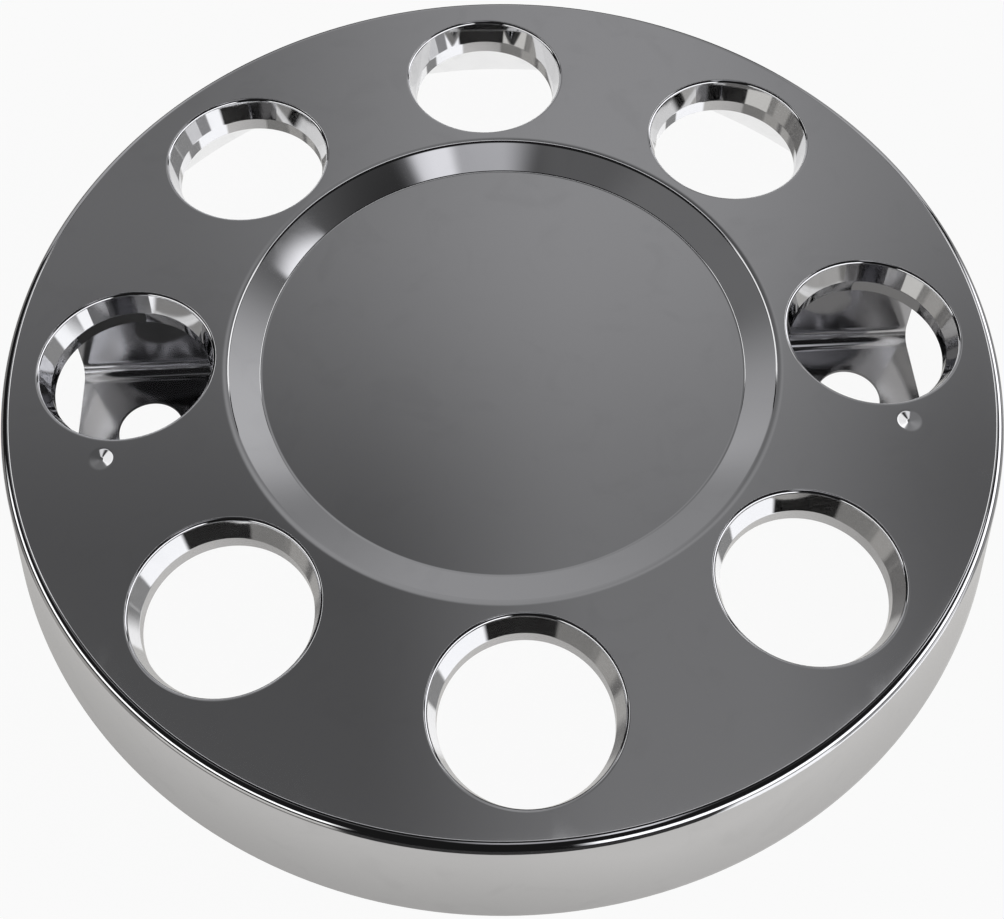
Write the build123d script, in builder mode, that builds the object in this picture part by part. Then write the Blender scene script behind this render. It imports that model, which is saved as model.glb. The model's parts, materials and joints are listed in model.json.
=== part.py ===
"""Truck wheel simulator: a pressed sheet cover with two mounting brackets welded behind its face.

All sizes are in millimetres. The origin is the centre of the rim, which lies in the XY plane, and the
face looks along +Z. The two nut holes that have a bracket behind them lie on the X axis.
"""

import os
from math import atan2, cos, radians, sin, tan

from build123d import *

# Wheel that the cover fits: its studs stand on this circle
pitch_radius = 137.5
nut_hole_count = 8

# Sheet of the cover, the depth from the face to the rim, and how far the skirt leans outwards
sheet = 1.2
cover_depth = 48.0
skirt_flare = 9.0
shoulder_inside_bend = 2.4

# Nut holes: a rounded edge, a conical wall and a short straight lip
nut_hole_radius = 29.0
cone_spread = 2.7
cone_drop = 9.0
lip_length = 6.0
hole_edge_inside_bend = 0.3
lip_inside_bend = 0.5

# Flat widths of the face beside the nut holes
outer_land = 8.1
inner_land = 2.6

# Sloped ring that leads down to the centre disc
ring_width = 12.1
recess = 5.8
ring_crest_inside_bend = 2.3
ring_foot_bend = 1.0

# Brackets: hat-section strips with leaning walls and a stud hole in the floor
bracket_sheet = 1.5
bracket_wall_lean = 7.0
bracket_foot_bend = 6.5
bracket_flange_bend = 1.0
bracket_flange = 11.0
bracket_outboard = 28.0
bracket_inboard = 30.0
bracket_corner = 3.0
hole_clearance = 0.6
stud_hole_radius = 12.5

# Spot welds, pressed into the face over one flange of each bracket
weld_radius = 3.5
weld_sink = 0.35
weld_outboard = 3.5

# Nut hole edge, where the rounding meets the flat face and the underside
cone_turn = atan2(cone_drop, cone_spread)
hole_edge_bend = hole_edge_inside_bend + sheet
cone_top_radius = nut_hole_radius + cone_spread
hole_rim_radius = cone_top_radius + hole_edge_bend * tan(cone_turn / 2)
collar_radius = hole_rim_radius + inner_land / 2

# Cover section, out from the axis: the skirt is drawn past the rim, where it is trimmed flat
shoulder_bend = shoulder_inside_bend + sheet
shoulder_turn = radians(90 - skirt_flare)
shoulder_radius = pitch_radius + hole_rim_radius + outer_land + shoulder_bend * tan(shoulder_turn / 2)
skirt_end_radius = shoulder_radius + (cover_depth + sheet) * tan(radians(skirt_flare))
ring_crest_bend = ring_crest_inside_bend + sheet
ring_turn = atan2(recess, ring_width)
ring_crest_radius = pitch_radius - hole_rim_radius - inner_land - ring_crest_bend * tan(ring_turn / 2)
ring_foot_radius = ring_crest_radius - ring_width
disc_level = cover_depth - recess

# Bracket section, out from the axis of its nut hole
face_underside = cover_depth - sheet
flange_top_bend = bracket_flange_bend + bracket_sheet
bracket_top_half = hole_rim_radius + hole_clearance
bracket_foot_half = bracket_top_half - (face_underside - bracket_sheet) * tan(radians(bracket_wall_lean))
flange_start = bracket_top_half + flange_top_bend
bracket_half_span = flange_start + bracket_flange
weld_half_span = flange_start + weld_radius

# Ball that presses a weld mark of the stated radius and depth
weld_ball_radius = (weld_radius**2 + weld_sink**2) / (2 * weld_sink)
weld_ball_level = cover_depth + weld_ball_radius - weld_sink

# Nut hole that each bracket stands behind, and the flange of it that is welded
hole_step = 360 / nut_hole_count
bracket_places = {"right_bracket": (0, -1), "left_bracket": (nut_hole_count // 2, 1)}


def spoke_plane(hole_number):
    """Plane across the spoke of a nut hole: local X along the pitch circle, local Y up, local Z outwards."""
    angle = radians(hole_step * hole_number)
    spoke = Vector(cos(angle), sin(angle), 0)
    return Plane(origin=spoke * pitch_radius, x_dir=(-spoke.Y, spoke.X, 0), z_dir=spoke)


def make_bracket(section):
    """Hat-section strip behind a nut hole, bent across the spoke and cut along it."""
    with BuildPart() as bracket:
        with BuildSketch(section.offset(-bracket_inboard)):
            with BuildLine():
                FilletPolyline(
                    (-bracket_half_span, face_underside),
                    (-bracket_top_half, face_underside),
                    (-bracket_foot_half, bracket_sheet),
                    (bracket_foot_half, bracket_sheet),
                    (bracket_top_half, face_underside),
                    (bracket_half_span, face_underside),
                    radius=[flange_top_bend, bracket_foot_bend, bracket_foot_bend, flange_top_bend],
                )
                offset(amount=bracket_sheet, side=Side.RIGHT)
            make_face()
        extrude(amount=bracket_inboard + bracket_outboard)
        flange_corners = bracket.edges().filter_by(Axis.Z).sort_by(
            lambda edge: abs(section.to_local_coords(edge.center()).X)
        )[-4:]
        fillet(flange_corners, radius=bracket_corner)
        with BuildSketch(Plane(origin=section.origin)):
            Circle(stud_hole_radius)
        extrude(amount=bracket_sheet, mode=Mode.SUBTRACT)
    return bracket


# Rolled edge of one nut hole, about its own axis
with BuildPart() as nut_hole_flange:
    with BuildSketch(Plane.XZ):
        with BuildLine():
            FilletPolyline(
                (collar_radius, cover_depth),
                (cone_top_radius, cover_depth),
                (nut_hole_radius, cover_depth - cone_drop),
                (nut_hole_radius, cover_depth - cone_drop - lip_length),
                radius=[hole_edge_bend, lip_inside_bend + sheet],
            )
            offset(amount=sheet, side=Side.LEFT)
        make_face()
    revolve(axis=Axis.Z)

# Cover: disc, ring, face, shoulder and skirt in one section, then the nut holes and the weld marks
with BuildPart() as wheel_cover:
    with BuildSketch(Plane.XZ):
        with BuildLine():
            FilletPolyline(
                (0, disc_level),
                (ring_foot_radius, disc_level),
                (ring_crest_radius, cover_depth),
                (shoulder_radius, cover_depth),
                (skirt_end_radius, -sheet),
                radius=[ring_foot_bend, ring_crest_bend, shoulder_bend],
            )
            offset(amount=sheet, side=Side.RIGHT)
        make_face()
    revolve(axis=Axis.Z)
    split(bisect_by=Plane.XY, keep=Keep.TOP)
    with BuildSketch(Plane.XY.offset(cover_depth)):
        with PolarLocations(pitch_radius, nut_hole_count):
            Circle(collar_radius)
    extrude(amount=-sheet, mode=Mode.SUBTRACT)
    with PolarLocations(pitch_radius, nut_hole_count):
        add(nut_hole_flange.part)
    for hole_number, weld_side in bracket_places.values():
        section = spoke_plane(hole_number)
        weld_place = (weld_side * weld_half_span, weld_ball_level, weld_outboard)
        with Locations(section.from_local_coords(weld_place)):
            Sphere(weld_ball_radius, mode=Mode.SUBTRACT)

os.makedirs("parts", exist_ok=True)
wheel_cover.part.label = "wheel_cover"
export_step(wheel_cover.part, "parts/wheel_cover.step")
for name, (hole_number, _) in bracket_places.items():
    bracket = make_bracket(spoke_plane(hole_number))
    bracket.part.label = name
    export_step(bracket.part, f"parts/{name}.step")
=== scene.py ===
"""Looks of the truck wheel simulator: the polished sheet cover, its two brackets and a plain studio stage."""

import json
from math import atan2, cos, hypot, pi, radians, sin, tan

import bmesh
import bpy
from bpy.props import FloatProperty, FloatVectorProperty, IntProperty, PointerProperty
from mathutils import Matrix, Vector


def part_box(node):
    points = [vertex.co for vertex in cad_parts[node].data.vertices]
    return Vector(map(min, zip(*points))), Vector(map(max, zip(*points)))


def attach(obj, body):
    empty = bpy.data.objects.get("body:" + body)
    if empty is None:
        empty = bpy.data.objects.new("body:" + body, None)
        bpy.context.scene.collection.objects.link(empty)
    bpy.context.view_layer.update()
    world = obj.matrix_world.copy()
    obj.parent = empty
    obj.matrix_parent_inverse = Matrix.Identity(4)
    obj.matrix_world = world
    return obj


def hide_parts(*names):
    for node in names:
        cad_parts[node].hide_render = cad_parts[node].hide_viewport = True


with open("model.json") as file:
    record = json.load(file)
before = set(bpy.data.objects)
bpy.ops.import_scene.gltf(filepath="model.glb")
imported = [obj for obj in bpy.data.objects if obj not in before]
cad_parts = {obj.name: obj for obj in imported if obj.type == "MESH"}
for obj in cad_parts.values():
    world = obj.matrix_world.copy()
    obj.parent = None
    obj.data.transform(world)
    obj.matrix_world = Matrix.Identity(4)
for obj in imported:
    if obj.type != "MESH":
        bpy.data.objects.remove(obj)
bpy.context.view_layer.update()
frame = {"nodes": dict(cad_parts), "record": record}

bl_info = {
    "name": "Truck wheel simulator",
    "version": (1, 0, 0),
    "blender": (4, 5, 0),
    "location": "3D View > Sidebar > Wheel cover",
    "description": "Presses the sheet cover, polishes its brackets and sets the studio stage",
    "category": "Add Mesh",
}

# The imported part: its box, and the stud circle that its bracket holes stand on
COVER_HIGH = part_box("wheel_cover")[1]
STUDS = next(m for m in frame["record"]["mounts"] if m["name"] == "bracket_studs")
STUD_CIRCLE_RADIUS = STUDS["dims"]["spacing_x_mm"] / 2000

# Pixels across the picture, and the camera's own width in millimetres
IMAGE_WIDTH = 1004
SENSOR_WIDTH = 36.0

# Steps of the turned shapes and of the bends in their sections
TURN_STEPS = {"ring": 192, "skirt": 256, "nut_hole": 96, "weld_mark": 40}
BEND_STEPS = {
    "ring_foot": 6, "ring_crest": 8, "shoulder": 12, "hole_edge": 10, "lip": 5, "weld_mark": 5,
}
FULL_TURN = 2 * pi
TOUCHING = 1e-6

# White, and the warmer white of the ground and of the floor's painted light, as the metal sees them
WHITE = (1.0, 1.0, 1.0)
WARM_WHITE = (1.0, 0.985, 0.96)


class CoverSettings(bpy.types.PropertyGroup):
    """Sizes of the pressed cover."""

    rim_radius: FloatProperty(
        name="Rim radius", description="Outer radius of the skirt's rim", default=COVER_HIGH.x, unit="LENGTH",
    )
    flare: FloatProperty(
        name="Flare", description="Lean of the skirt outwards", default=radians(9.0), subtype="ANGLE",
    )
    depth: FloatProperty(
        name="Depth", description="From the face to the rim", default=COVER_HIGH.z, unit="LENGTH",
    )
    sheet: FloatProperty(
        name="Sheet", description="Thickness of the sheet", default=0.0012, unit="LENGTH",
    )
    shoulder_bend: FloatProperty(
        name="Shoulder bend", description="Outside radius from face to skirt", default=0.0036, unit="LENGTH",
    )
    pitch_radius: FloatProperty(
        name="Pitch radius", description="Radius of the nut hole circle", unit="LENGTH",
        default=STUD_CIRCLE_RADIUS,
    )
    hole_count: IntProperty(
        name="Nut holes", description="Number of nut holes", default=8,
    )
    hole_radius: FloatProperty(
        name="Nut hole radius", description="Clear radius in the lip", default=0.029, unit="LENGTH",
    )
    cone_spread: FloatProperty(
        name="Cone spread", description="Widening of the cone at the face", default=0.0027, unit="LENGTH",
    )
    cone_drop: FloatProperty(
        name="Cone drop", description="Depth of the conical wall", default=0.009, unit="LENGTH",
    )
    lip_length: FloatProperty(
        name="Lip length", description="Length of the straight lip", default=0.006, unit="LENGTH",
    )
    hole_edge_bend: FloatProperty(
        name="Hole edge bend", description="Outside radius from face to cone", default=0.0015, unit="LENGTH",
    )
    lip_bend: FloatProperty(
        name="Lip bend", description="Outside radius from cone to lip", default=0.0017, unit="LENGTH",
    )
    inner_land: FloatProperty(
        name="Inner land", description="Flat width between ring and nut holes", default=0.0018, unit="LENGTH",
    )
    ring_width: FloatProperty(
        name="Ring width", description="Width of the sloped ring", default=0.0121, unit="LENGTH",
    )
    recess: FloatProperty(
        name="Recess", description="Drop from the face to the centre disc", default=0.0058, unit="LENGTH",
    )
    ring_crest_bend: FloatProperty(
        name="Ring crest bend", description="Outside radius at the crest", default=0.007, unit="LENGTH",
    )
    ring_foot_bend: FloatProperty(
        name="Ring foot bend", description="Radius at the ring's foot", default=0.003, unit="LENGTH",
    )
    weld_radius: FloatProperty(
        name="Weld radius", description="Radius of a spot weld's mark", default=0.0048, unit="LENGTH",
    )
    weld_slope: FloatProperty(
        name="Weld slope", description="Slope of a spot weld's mark", default=radians(6.5), subtype="ANGLE",
    )
    weld_outboard: FloatProperty(
        name="Weld outboard", description="Weld mark's place past the pitch circle", unit="LENGTH",
        default=0.0052,
    )
    weld_aside: FloatProperty(
        name="Weld aside", description="Weld mark's place beside its nut hole", default=0.0394, unit="LENGTH",
    )


class FinishSettings(bpy.types.PropertyGroup):
    """Colours and polish of the metal."""

    cover_colour: FloatVectorProperty(
        name="Cover", description="Colour of the polished sheet", subtype="COLOR", default=(0.70, 0.70, 0.71),
    )
    bracket_colour: FloatVectorProperty(
        name="Brackets", description="Colour of the brackets", subtype="COLOR", default=(0.62, 0.62, 0.64),
    )
    back_colour: FloatVectorProperty(
        name="Back", description="Colour of the sheet's inside", subtype="COLOR", default=(0.95, 0.95, 0.95),
    )
    polish: FloatProperty(
        name="Polish", description="Roughness of the polished side", default=0.035, subtype="FACTOR",
    )
    back_roughness: FloatProperty(
        name="Back roughness", description="Roughness of the sheet's inside", default=0.12, subtype="FACTOR",
    )
    waviness: FloatProperty(
        name="Waviness", description="Height of the sheet's slow waves", default=0.00002, unit="LENGTH",
    )


class StageSettings(bpy.types.PropertyGroup):
    """Camera, floor and light."""

    elevation: FloatProperty(
        name="Elevation", description="Camera above the horizon", default=radians(55.85), subtype="ANGLE",
    )
    azimuth: FloatProperty(
        name="Azimuth", description="Camera's turn round the axle", default=radians(-3.26), subtype="ANGLE",
    )
    roll: FloatProperty(
        name="Roll", description="Camera's turn about its own axis", default=radians(0.11), subtype="ANGLE",
    )
    distance: FloatProperty(
        name="Distance", description="From the camera to its target", default=0.5444, unit="LENGTH",
    )
    focal_length: FloatProperty(
        name="Focal length", description="In pixels of the picture", default=1476.0,
    )
    shift: FloatProperty(
        name="Shift", description="Lens shift up the picture", default=-0.12,
    )
    target: FloatVectorProperty(
        name="Target", description="Point on the face that the camera looks at", subtype="TRANSLATION",
        default=(0.0, 0.0034, COVER_HIGH.z),
    )
    floor_gap: FloatProperty(
        name="Floor gap", description="Gap that keeps the floor clear of the rim and the brackets",
        default=0.0002, min=0.0, unit="LENGTH",
    )
    floor_size: FloatProperty(
        name="Floor", description="Half width of the floor", default=12.0, unit="LENGTH",
    )
    floor_colour: FloatVectorProperty(
        name="Floor colour", description="Colour of the floor", subtype="COLOR", default=(0.85, 0.84, 0.83),
    )


class Field:
    """A value in a node tree that Python's operators build on."""

    def __init__(self, bench, socket):
        self.bench = bench
        self.socket = socket

    def other(self, name):
        """Another output of the same node."""
        return Field(self.bench, self.socket.node.outputs[name])

    def maths(self, operation, first, second):
        return self.bench.add("ShaderNodeMath", {"operation": operation}, {0: first, 1: second})

    def __add__(self, value):
        return self.maths("ADD", self, value)

    def __radd__(self, value):
        return self.maths("ADD", value, self)

    def __sub__(self, value):
        return self.maths("SUBTRACT", self, value)

    def __rsub__(self, value):
        return self.maths("SUBTRACT", value, self)

    def __mul__(self, value):
        return self.maths("MULTIPLY", self, value)

    def __rmul__(self, value):
        return self.maths("MULTIPLY", value, self)

    def __truediv__(self, value):
        return self.maths("DIVIDE", self, value)

    def __rtruediv__(self, value):
        return self.maths("DIVIDE", value, self)

    def __abs__(self):
        return self.bench.add("ShaderNodeMath", {"operation": "ABSOLUTE"}, {0: self})


class Bench:
    """Adds the nodes of one node tree."""

    def __init__(self, tree):
        tree.nodes.clear()
        self.tree = tree

    def add(self, kind, settings=None, inputs=None, output=0):
        """Adds a node, sets it up, and gives the named output as a field, or the node where it has none."""
        node = self.tree.nodes.new(kind)
        for name, value in (settings or {}).items():
            setattr(node, name, value)
        for key, value in (inputs or {}).items():
            if isinstance(value, Field):
                self.tree.links.new(value.socket, node.inputs[key])
            else:
                node.inputs[key].default_value = value
        return Field(self, node.outputs[output]) if node.outputs else node

    def step(self, value, low, high):
        """Smooth rise from 0 at low to 1 at high."""
        return self.add(
            "ShaderNodeMapRange",
            {"interpolation_type": "SMOOTHSTEP"},
            {"Value": value, "From Min": low, "From Max": high},
        )

    def band(self, value, low, high, softness):
        """Soft mask of the values between two limits."""
        risen = self.step(value, low - softness, low + softness)
        return risen * self.step(value, high + softness, high - softness)

    def blend(self, share, first, second):
        """Mix of two colours."""
        return self.add("ShaderNodeMix", {"data_type": "RGBA"}, {0: share, 6: first, 7: second}, 2)

    def mix(self, share, first, second):
        """Mix of two shaders."""
        return self.add("ShaderNodeMixShader", None, {0: share, 1: first, 2: second})

    def glow(self, colour, strength):
        """Shader that gives light."""
        return self.add("ShaderNodeEmission", None, {"Color": (*colour, 1.0), "Strength": strength})

    def dot(self, field, way):
        """Share of a vector field along a fixed direction."""
        return self.add("ShaderNodeVectorMath", {"operation": "DOT_PRODUCT"}, {0: field, 1: way}, "Value")

    def tint(self, value, colour):
        """A colour scaled by a value."""
        return self.add("ShaderNodeVectorMath", {"operation": "SCALE"}, {0: colour, "Scale": value}, "Vector")

    def together(self, first, second):
        """Two colours added."""
        return self.add("ShaderNodeVectorMath", {"operation": "ADD"}, {0: first, 1: second}, "Vector")


def new_material(name):
    material = bpy.data.materials.new(name)
    material.use_nodes = True
    return material, Bench(material.node_tree)


def metal(name, colour, roughness, smear, waviness, wave_scale):
    """Sheet metal: slow waves from pressing, smears from wiping and a fine haze from the polishing wheel."""
    material, bench = new_material(name)
    place = bench.add("ShaderNodeTexCoord", output="Object")
    wave = bench.add("ShaderNodeTexNoise", None, {"Vector": place, "Scale": wave_scale, "Detail": 1.0})
    wiped = bench.add(
        "ShaderNodeTexNoise", None, {"Vector": place, "Scale": 55.0, "Detail": 6.0, "Distortion": 0.8},
    )
    haze = bench.add("ShaderNodeTexNoise", None, {"Vector": place, "Scale": 900.0, "Detail": 2.0})
    smears = bench.step(wiped, 0.5, 0.75) + haze * 0.25
    tone = bench.blend(smears, (*colour, 1.0), (*(channel * 0.96 for channel in colour), 1.0))
    bump = bench.add("ShaderNodeBump", None, {"Height": wave, "Distance": waviness, "Strength": 1.0})
    shader = bench.add(
        "ShaderNodeBsdfPrincipled",
        None,
        {"Base Color": tone, "Metallic": 1.0, "Roughness": smears * smear + roughness, "Normal": bump},
    )
    bench.add("ShaderNodeOutputMaterial", None, {"Surface": shader})
    return material


class SheetLine:
    """Section of a bent sheet, drawn in an XZ plane: one vertex is extruded along runs and round bends."""

    def __init__(self, bm, start, heading):
        self.bm = bm
        self.heading = heading
        self.tip = bm.verts.new(start)
        self.verts = [self.tip]

    def run(self, length):
        """Straight stretch along the heading."""
        self.tip = bmesh.ops.extrude_vert_indiv(self.bm, verts=[self.tip])["verts"][0]
        way = Vector((cos(self.heading), 0, sin(self.heading)))
        bmesh.ops.translate(self.bm, verts=[self.tip], vec=way * length)
        self.verts.append(self.tip)

    def bend(self, turn, radius, steps):
        """Arc that turns the heading from +X towards +Z, or back where the turn is negative."""
        aside = Vector((-sin(self.heading), 0, cos(self.heading)))
        centre = self.tip.co + aside * (radius if turn > 0 else -radius)
        before = set(self.bm.verts)
        made = bmesh.ops.spin(
            self.bm, geom=[self.tip], cent=centre, axis=(0, -1, 0), angle=turn, steps=steps,
        )
        self.tip = next(item for item in made["geom_last"] if isinstance(item, bmesh.types.BMVert))
        self.verts += [vert for vert in self.bm.verts if vert not in before]
        self.heading += turn

    def revolve(self, centre, steps):
        """Turns the section about an upright axis, and gives every vertex of the surface."""
        edges = {edge for vert in self.verts for edge in vert.link_edges}
        before = set(self.bm.verts)
        bmesh.ops.spin(
            self.bm, geom=[*self.verts, *edges], cent=centre, axis=(0, 0, 1), angle=FULL_TURN, steps=steps,
            use_merge=True,
        )
        return [vert for vert in self.bm.verts if vert not in before or vert in self.verts]


def press_face(bm, size):
    """Centre disc and ring, shoulder and skirt."""
    turn = atan2(size.recess, size.ring_width)
    rim = hole_rim(size)
    crest_side = size.ring_crest_bend * tan(turn / 2)
    foot_side = size.ring_foot_bend * tan(turn / 2)
    crest_radius = size.pitch_radius - rim - size.inner_land - crest_side
    ring = SheetLine(bm, (0, 0, size.depth - size.recess), 0)
    ring.run(crest_radius - size.ring_width - foot_side)
    ring.bend(turn, size.ring_foot_bend, BEND_STEPS["ring_foot"])
    ring.run(hypot(size.recess, size.ring_width) - foot_side - crest_side)
    ring.bend(-turn, size.ring_crest_bend, BEND_STEPS["ring_crest"])
    ring.revolve((0, 0, 0), TURN_STEPS["ring"])
    shoulder_turn = pi / 2 - size.flare
    shoulder_side = size.shoulder_bend * tan(shoulder_turn / 2)
    shoulder_radius = size.rim_radius - size.depth * tan(size.flare)
    skirt = SheetLine(bm, (shoulder_radius - shoulder_side, 0, size.depth), 0)
    skirt.bend(-shoulder_turn, size.shoulder_bend, BEND_STEPS["shoulder"])
    skirt.run((size.depth - size.sheet * sin(size.flare)) / cos(size.flare) - shoulder_side)
    skirt.revolve((0, 0, 0), TURN_STEPS["skirt"])


def hole_rim(size):
    """Radius where a nut hole's rounded edge meets the flat face."""
    turn = atan2(size.cone_drop, size.cone_spread)
    return size.hole_radius + size.cone_spread + size.hole_edge_bend * tan(turn / 2)


def press_nut_holes(bm, size):
    """Rounded edge, conical wall and straight lip of every nut hole."""
    turn = atan2(size.cone_drop, size.cone_spread)
    lip_turn = pi / 2 - turn
    edge_side = size.hole_edge_bend * tan(turn / 2)
    lip_side = size.lip_bend * tan(lip_turn / 2)
    flange = SheetLine(bm, (size.pitch_radius + hole_rim(size), 0, size.depth), pi)
    flange.bend(turn, size.hole_edge_bend, BEND_STEPS["hole_edge"])
    flange.run(hypot(size.cone_drop, size.cone_spread) - edge_side - lip_side)
    flange.bend(lip_turn, size.lip_bend, BEND_STEPS["lip"])
    flange.run(size.lip_length - lip_side)
    verts = flange.revolve((size.pitch_radius, 0, 0), TURN_STEPS["nut_hole"])
    faces = {face for vert in verts for face in vert.link_faces}
    step = FULL_TURN / size.hole_count
    bmesh.ops.spin(
        bm, geom=[*verts, *{e for f in faces for e in f.edges}, *faces], cent=(0, 0, 0), axis=(0, 0, 1),
        angle=FULL_TURN - step, steps=size.hole_count - 1, use_duplicate=True,
    )


def press_weld_marks(bm, size):
    """Shallow round dents, one beside each bracketed nut hole."""
    slope = size.weld_slope
    bend = 2 * size.weld_radius
    run = (size.weld_radius - 2 * bend * sin(slope)) / cos(slope)
    sink = 2 * bend * (1 - cos(slope)) + run * sin(slope)
    for side in (-1, 1):
        centre = Vector((side * (size.pitch_radius + size.weld_outboard), -size.weld_aside, 0))
        dent = SheetLine(bm, centre + Vector((0, 0, size.depth - sink)), 0)
        dent.bend(slope, bend, BEND_STEPS["weld_mark"])
        dent.run(run)
        dent.bend(-slope, bend, BEND_STEPS["weld_mark"])
        dent.revolve(centre, TURN_STEPS["weld_mark"])


def close_face(bm, size):
    """Flat face between the ring, the shoulder, the nut holes and the weld marks."""
    bmesh.ops.remove_doubles(bm, verts=bm.verts, dist=TOUCHING)
    level = size.depth - TOUCHING
    rims = [e for e in bm.edges if e.is_boundary and all(v.co.z > level for v in e.verts)]
    bmesh.ops.triangle_fill(bm, edges=rims, use_beauty=True, normal=(0, 0, 1))
    bmesh.ops.recalc_face_normals(bm, faces=bm.faces)
    if max(bm.faces, key=lambda face: face.calc_area()).normal.z < 0:
        bmesh.ops.reverse_faces(bm, faces=bm.faces)


def add_piece(name, bm, materials):
    """Makes a mesh object at the origin from a bmesh."""
    mesh = bpy.data.meshes.new(name)
    bm.to_mesh(mesh)
    bm.free()
    mesh.shade_smooth()
    for material in materials:
        mesh.materials.append(material)
    piece = bpy.data.objects.new(name, mesh)
    bpy.context.scene.collection.objects.link(piece)
    return piece


class WHEELCOVER_OT_press_cover(bpy.types.Operator):
    """Presses the cover from sheet: disc, ring, nut holes, weld marks, shoulder and skirt"""

    bl_idname = "wheelcover.press_cover"
    bl_label = "Press cover"

    def execute(self, context):
        size = context.scene.wheelcover_cover
        finish = context.scene.wheelcover_finish
        bm = bmesh.new()
        press_face(bm, size)
        press_nut_holes(bm, size)
        press_weld_marks(bm, size)
        close_face(bm, size)
        polished = metal(
            "polished_sheet", finish.cover_colour, finish.polish,
            smear=0.03, waviness=finish.waviness, wave_scale=22.0,
        )
        plain = metal(
            "sheet_back", finish.back_colour, finish.back_roughness,
            smear=0.1, waviness=finish.waviness, wave_scale=30.0,
        )
        cover = add_piece("pressed_cover", bm, (polished, plain))
        wall = cover.modifiers.new("sheet", "SOLIDIFY")
        wall.thickness = size.sheet
        wall.offset = -1
        wall.use_even_offset = True
        wall.use_quality_normals = True
        wall.material_offset = 1
        wall.material_offset_rim = 1
        edges = cover.modifiers.new("cut_edges", "BEVEL")
        edges.width = size.sheet / 6
        edges.segments = 2
        edges.limit_method = "ANGLE"
        edges.angle_limit = radians(60)
        cover.modifiers.new("even_shading", "WEIGHTED_NORMAL")
        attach(cover, "root")
        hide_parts("wheel_cover")
        return {"FINISHED"}


class WHEELCOVER_OT_polish_brackets(bpy.types.Operator):
    """Polishes the two hat-section brackets"""

    bl_idname = "wheelcover.polish_brackets"
    bl_label = "Polish brackets"

    def execute(self, context):
        finish = context.scene.wheelcover_finish
        polished = metal(
            "polished_bracket", finish.bracket_colour, 3 * finish.polish,
            smear=0.06, waviness=2 * finish.waviness, wave_scale=35.0,
        )
        for name in ("left_bracket", "right_bracket"):
            for slot in frame["nodes"][name].material_slots:
                slot.material = polished
        return {"FINISHED"}


# Soft boxes and dark flags round the object: limits of the turn from +Y towards +X, limits of the rise over
# the horizon and softness, all in degrees, and colour. A later one stands in front of those before it
FLAGS = (
    # Soft boxes over the horizon
    (-150.0, -70.0, 15.0, 29.0, 3.0, (1.9, 1.9, 1.9)),
    (50.0, 169.0, 8.0, 31.0, 3.0, (1.8, 1.8, 1.85)),
    # What the walls of the nut holes mirror
    (93.0, 146.0, -58.0, -1.0, 2.5, (1.5, 1.51, 1.54)),
    (67.0, 93.0, -58.0, -1.0, 2.5, (0.34, 0.34, 0.34)),
    (30.0, 67.0, -58.0, -1.0, 2.5, (1.3, 1.3, 1.3)),
    (-150.0, -110.0, -58.0, -1.0, 2.5, (0.26, 0.255, 0.245)),
    (-110.0, -82.0, -58.0, -1.0, 6.0, (0.44, 0.43, 0.41)),
    (-82.0, -72.0, -58.0, -1.0, 4.0, (0.2, 0.195, 0.19)),
    (-72.0, -50.0, -58.0, -1.0, 4.0, (0.5, 0.49, 0.47)),
    (-50.0, -22.0, -58.0, -1.0, 6.0, (0.25, 0.245, 0.24)),
    # What the walls of the far nut holes mirror instead
    (111.0, 127.0, -20.5, -1.0, 1.5, (0.35, 0.35, 0.36)),
    (93.0, 111.0, -20.5, -1.0, 1.5, (0.9, 0.9, 0.92)),
    (25.0, 67.0, -40.0, -1.0, 2.5, (0.3, 0.3, 0.3)),
    (-150.0, -117.0, -20.5, -1.0, 1.5, (0.8, 0.79, 0.76)),
    (-72.0, -25.0, -40.0, -1.0, 2.5, (0.2, 0.195, 0.19)),
)

# Windows overhead, by the X and Y of the way to them: limits of X, limits of Y, lean of X with Y,
# softness and colour
WINDOWS = (
    (0.13, 0.24, -0.30, -0.09, 0.0, 0.02, (0.5, 0.5, 0.52)),
    (-0.06, 0.24, -0.30, -0.09, 0.0, 0.06, (0.45, 0.45, 0.47)),
    (0.467, 0.60, 0.09, 0.26, 0.37, 0.012, (1.2, 1.2, 1.24)),
    (-0.435, -0.335, 0.33, 0.63, 0.0, 0.015, (1.15, 1.15, 1.15)),
    (0.385, 0.48, 0.33, 0.61, 0.0, 0.015, (1.15, 1.15, 1.15)),
)

# Ways that the flat face and the sloped ring mirror: middle of X and Y, half width of each
FLAT_WAYS = (0.03, 0.497, 0.32, 0.235)
RING_WAYS = (0.02, 0.40, 0.55, 0.57)


def apart_from(x, y, middle_x, middle_y, half_x, half_y):
    """Square of the distance from an ellipse's middle, 1 on the ellipse."""
    across = (x - middle_x) / half_x
    along = (y - middle_y) / half_y
    return across * across + along * along


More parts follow.
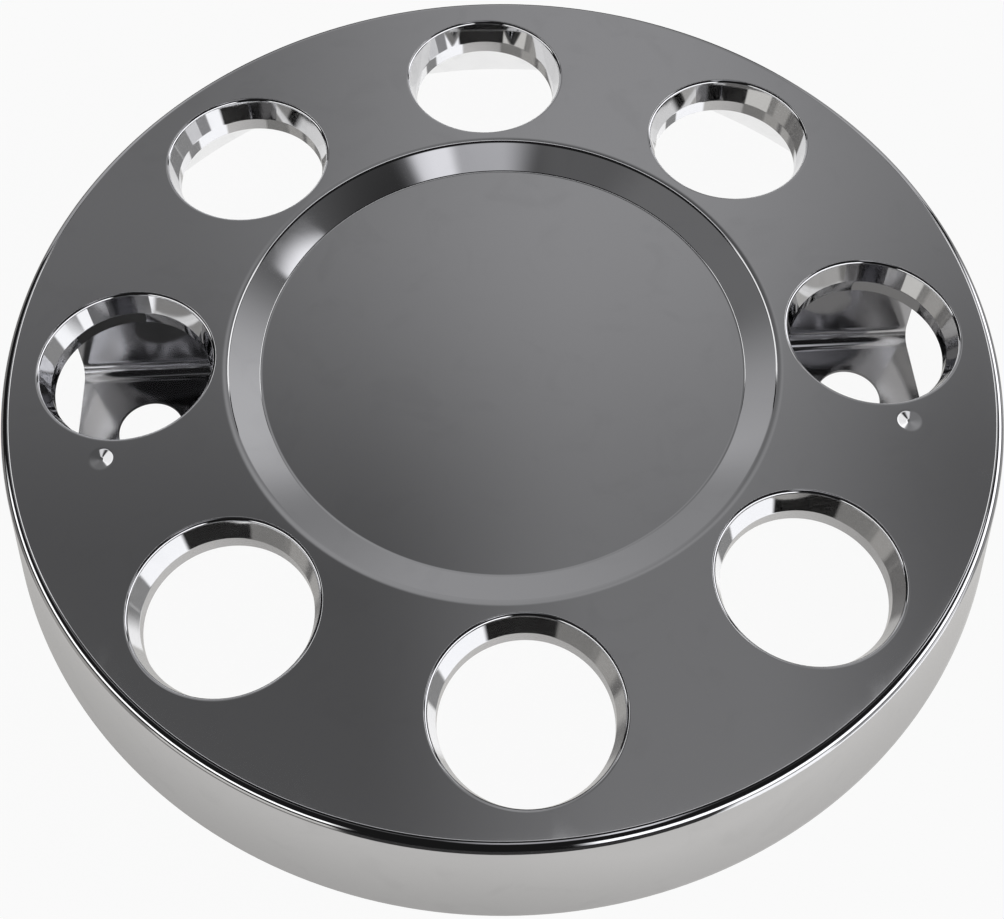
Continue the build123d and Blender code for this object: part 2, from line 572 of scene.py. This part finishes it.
def room_tone(bench, x, y):
    """Dim room over the horizon, lighter on the far side, with dark gaps round what the face mirrors."""
    far = bench.step(y, 0.42, 0.64)
    far_wall = 0.08 + 0.16 * bench.step(x, -0.2, 0.1) - 0.1 * bench.step(x, 0.14, 0.34)
    overhead = 0.12 * bench.step(x, -0.08, 0.1) - 0.1 * bench.step(x, 0.18, 0.34)
    tone = 0.088 + far * far_wall + (1 - far) * overhead
    tone = tone + 0.1 * bench.step(y, 0.7, 0.9) * bench.step(x, 0.1, -0.16)
    tone = tone + bench.step(x, -0.28, -0.4) * (0.05 + 0.16 * bench.step(y, 0.45, 0.75))
    tone = tone + bench.step(x, 0.34, 0.44) * bench.step(y, 0.25, 0.5) * bench.step(y, 0.95, 0.7) * 0.3
    tone = tone * bench.step(y - x * 0.45, -0.25, -0.05)
    flat = apart_from(x, y, *FLAT_WAYS)
    ring = bench.band(apart_from(x, y, *RING_WAYS), 0.86, 1.2, 0.03)
    line = bench.band(flat, 1.15, 1.6, 0.1) * bench.step(y, 0.42, 0.34)
    kept = bench.step(flat - ring * 10 - 10 * bench.step(y, 0.68, 0.76), 1.8, 1.6)
    return 0.012 + 0.025 * ring + tone * kept + 0.8 * line


def light_studio():
    """World: white to the camera, and a dim room with soft boxes and a pale ground to everything else."""
    world = bpy.data.worlds.new("studio")
    world.use_nodes = True
    bench = Bench(world.node_tree)
    way = bench.add("ShaderNodeTexCoord", output="Generated")
    x = bench.dot(way, (1, 0, 0))
    y = bench.dot(way, (0, 1, 0))
    z = bench.dot(way, (0, 0, 1))
    turn = bench.add("ShaderNodeMath", {"operation": "ARCTAN2"}, {0: x, 1: y}) * (180 / pi)
    rise = bench.add("ShaderNodeMath", {"operation": "ARCSINE"}, {0: z}) * (180 / pi)
    room = room_tone(bench, x, y) * bench.step(rise, -2.0, 2.0)
    light = bench.tint(room, (1.0, 1.0, 1.02))
    ground = bench.step(rise, -38.0, -46.0) * (0.64 + x * 0.25)
    light = bench.together(light, bench.tint(ground, WARM_WHITE))
    for turn_low, turn_high, rise_low, rise_high, softness, colour in FLAGS:
        mask = bench.band(turn, turn_low, turn_high, softness)
        mask = mask * bench.band(rise, rise_low, rise_high, softness)
        light = bench.blend(mask, light, (*colour, 1.0))
    for x_low, x_high, y_low, y_high, lean, softness, colour in WINDOWS:
        mask = bench.band(x - y * lean, x_low, x_high, softness) * bench.band(y, y_low, y_high, softness)
        light = bench.together(light, bench.tint(mask * bench.step(z, 0.0, 0.1), colour))
    seen = bench.add("ShaderNodeLightPath", output="Is Camera Ray")
    colour = bench.blend(seen, light, (*WHITE, 1.0))
    background = bench.add("ShaderNodeBackground", None, {"Color": colour, "Strength": 1.0})
    bench.add("ShaderNodeOutputWorld", None, {"Surface": background})
    bpy.context.scene.world = world


def mirrored_floor(bench, place, rim_radius):
    """Floor as the metal sees it, glowing with painted light and shade: a painted shadow outside the rim,
    painted light inside it and painted shade beneath the brackets.
    """
    apart = bench.add("ShaderNodeVectorMath", {"operation": "LENGTH"}, {0: place}, "Value")
    across = bench.dot(place, (1, 0, 0))
    along = bench.dot(place, (0, 1, 0))
    # Glows that paint light and shade on the floor for the metal: full painted light, lit and shaded floor,
    # and painted shade
    painted_light = bench.glow(WHITE, 1.0)
    lit = bench.glow(WARM_WHITE, 0.74)
    shaded = bench.glow(WARM_WHITE, 0.48)
    dark = bench.glow(WHITE, 0.02)

    # Outside the rim the metal sees painted light and shade: a painted shadow close to the rim, painted
    # lighter further out and towards the right
    outside = bench.band(apart, rim_radius, rim_radius + 0.045, 0.001)
    share = bench.step(apart, rim_radius - 0.004, rim_radius + 0.024) * 0.75
    share = share + across * 0.3 + bench.step(across, -0.03, 0.06) * 0.3 + 0.12
    ground = bench.add("ShaderNodeBsdfTransparent")
    ground = bench.mix(outside, ground, bench.mix(share, shaded, lit))

    # Painted light along the far half of the rim, just inside it
    inside = bench.band(apart, rim_radius - 0.0155, rim_radius, 0.001)
    ground = bench.mix(inside * bench.step(along, 0.07, 0.09), ground, painted_light)

    # Painted shade beneath the brackets, less dark beneath the right one and near the rim
    share = bench.step(across, -0.05, 0.05) * 0.3
    share = share + bench.step(apart, rim_radius - 0.02, rim_radius - 0.019) * 0.45
    painted_shade_zone = bench.step(abs(across), 0.098, 0.104) * bench.step(abs(along), 0.055, 0.045)
    painted_shade_zone = painted_shade_zone * bench.step(apart, rim_radius, rim_radius - 0.001)
    ground = bench.mix(painted_shade_zone, ground, bench.mix(share, dark, lit))

    # Narrow strip of painted light along the rim
    painted_light_strip = bench.band(apart, rim_radius - 0.005, rim_radius, 0.001) * bench.step(along, -0.06, -0.04)
    return bench.mix(painted_light_strip, ground, painted_light)


def floor_paint(colour, rim_radius):
    """Pale floor, white to the camera, with painted light and shade in zones to the metal, and clear from
    below.
    """
    material, bench = new_material("floor_paint")
    place = bench.add("ShaderNodeTexCoord", output="Object")
    grain = bench.add("ShaderNodeTexNoise", None, {"Vector": place, "Scale": 60.0, "Detail": 4.0})
    tone = bench.blend(grain, (*colour, 1.0), (*(channel * 0.98 for channel in colour), 1.0))
    seen = bench.add("ShaderNodeLightPath", output="Is Camera Ray")
    mirrored = seen.other("Is Glossy Ray") + seen.other("Is Transmission Ray")
    paint = bench.add("ShaderNodeBsdfDiffuse", None, {"Color": tone})
    surface = bench.mix(seen * 0.94, paint, bench.glow(WHITE, 1.0))
    # The metal mostly sees the floor's painted light and shade
    surface = bench.mix(mirrored * 0.85, surface, mirrored_floor(bench, place, rim_radius))
    below = bench.add("ShaderNodeNewGeometry", output="Backfacing")
    surface = bench.mix(below, surface, bench.add("ShaderNodeBsdfTransparent"))
    bench.add("ShaderNodeOutputMaterial", None, {"Surface": surface})
    return material


class WHEELCOVER_OT_set_stage(bpy.types.Operator):
    """Lays the floor, lights the studio and places the camera"""

    bl_idname = "wheelcover.set_stage"
    bl_label = "Set stage"

    def execute(self, context):
        stage = context.scene.wheelcover_stage
        bm = bmesh.new()
        drop = Matrix.Translation((0, 0, -stage.floor_gap))
        bmesh.ops.create_grid(bm, x_segments=1, y_segments=1, size=stage.floor_size, matrix=drop)
        floor = add_piece("floor", bm, [floor_paint(stage.floor_colour, COVER_HIGH.x)])
        light_studio()
        data = bpy.data.cameras.new("camera")
        data.sensor_width = SENSOR_WIDTH
        data.lens = stage.focal_length / IMAGE_WIDTH * SENSOR_WIDTH
        data.shift_y = stage.shift
        data.clip_start = 0.01
        camera = bpy.data.objects.new("camera", data)
        context.scene.collection.objects.link(camera)
        back = Vector((
            sin(stage.azimuth) * cos(stage.elevation),
            -cos(stage.azimuth) * cos(stage.elevation),
            sin(stage.elevation),
        ))
        turned = (-back).to_track_quat("-Z", "Y").to_matrix() @ Matrix.Rotation(stage.roll, 3, "Z")
        place = Matrix.Translation(Vector(stage.target) + back * stage.distance)
        camera.matrix_world = place @ turned.to_4x4()
        context.scene.camera = camera
        context.scene.view_settings.view_transform = "Standard"
        return {"FINISHED"}


class VIEW3D_PT_wheelcover(bpy.types.Panel):
    """Sizes, finishes and steps of the wheel cover"""

    bl_label = "Wheel cover"
    bl_space_type = "VIEW_3D"
    bl_region_type = "UI"
    bl_category = "Wheel cover"

    def draw(self, context):
        scene = context.scene
        for group in (scene.wheelcover_cover, scene.wheelcover_finish, scene.wheelcover_stage):
            box = self.layout.box()
            for name in group.__annotations__:
                box.prop(group, name)
        for operator in OPERATORS:
            self.layout.operator(operator.bl_idname)


OPERATORS = (WHEELCOVER_OT_press_cover, WHEELCOVER_OT_polish_brackets, WHEELCOVER_OT_set_stage)
GROUPS = {
    "wheelcover_cover": CoverSettings,
    "wheelcover_finish": FinishSettings,
    "wheelcover_stage": StageSettings,
}


def register():
    for item in (*GROUPS.values(), *OPERATORS, VIEW3D_PT_wheelcover):
        bpy.utils.register_class(item)
    for name, group in GROUPS.items():
        setattr(bpy.types.Scene, name, PointerProperty(type=group))


def unregister():
    for name in GROUPS:
        delattr(bpy.types.Scene, name)
    for item in (VIEW3D_PT_wheelcover, *OPERATORS, *GROUPS.values()):
        bpy.utils.unregister_class(item)


def main():
    register()
    bpy.ops.wheelcover.press_cover()
    bpy.ops.wheelcover.polish_brackets()
    bpy.ops.wheelcover.set_stage()


if __name__ == "__main__":
    main()
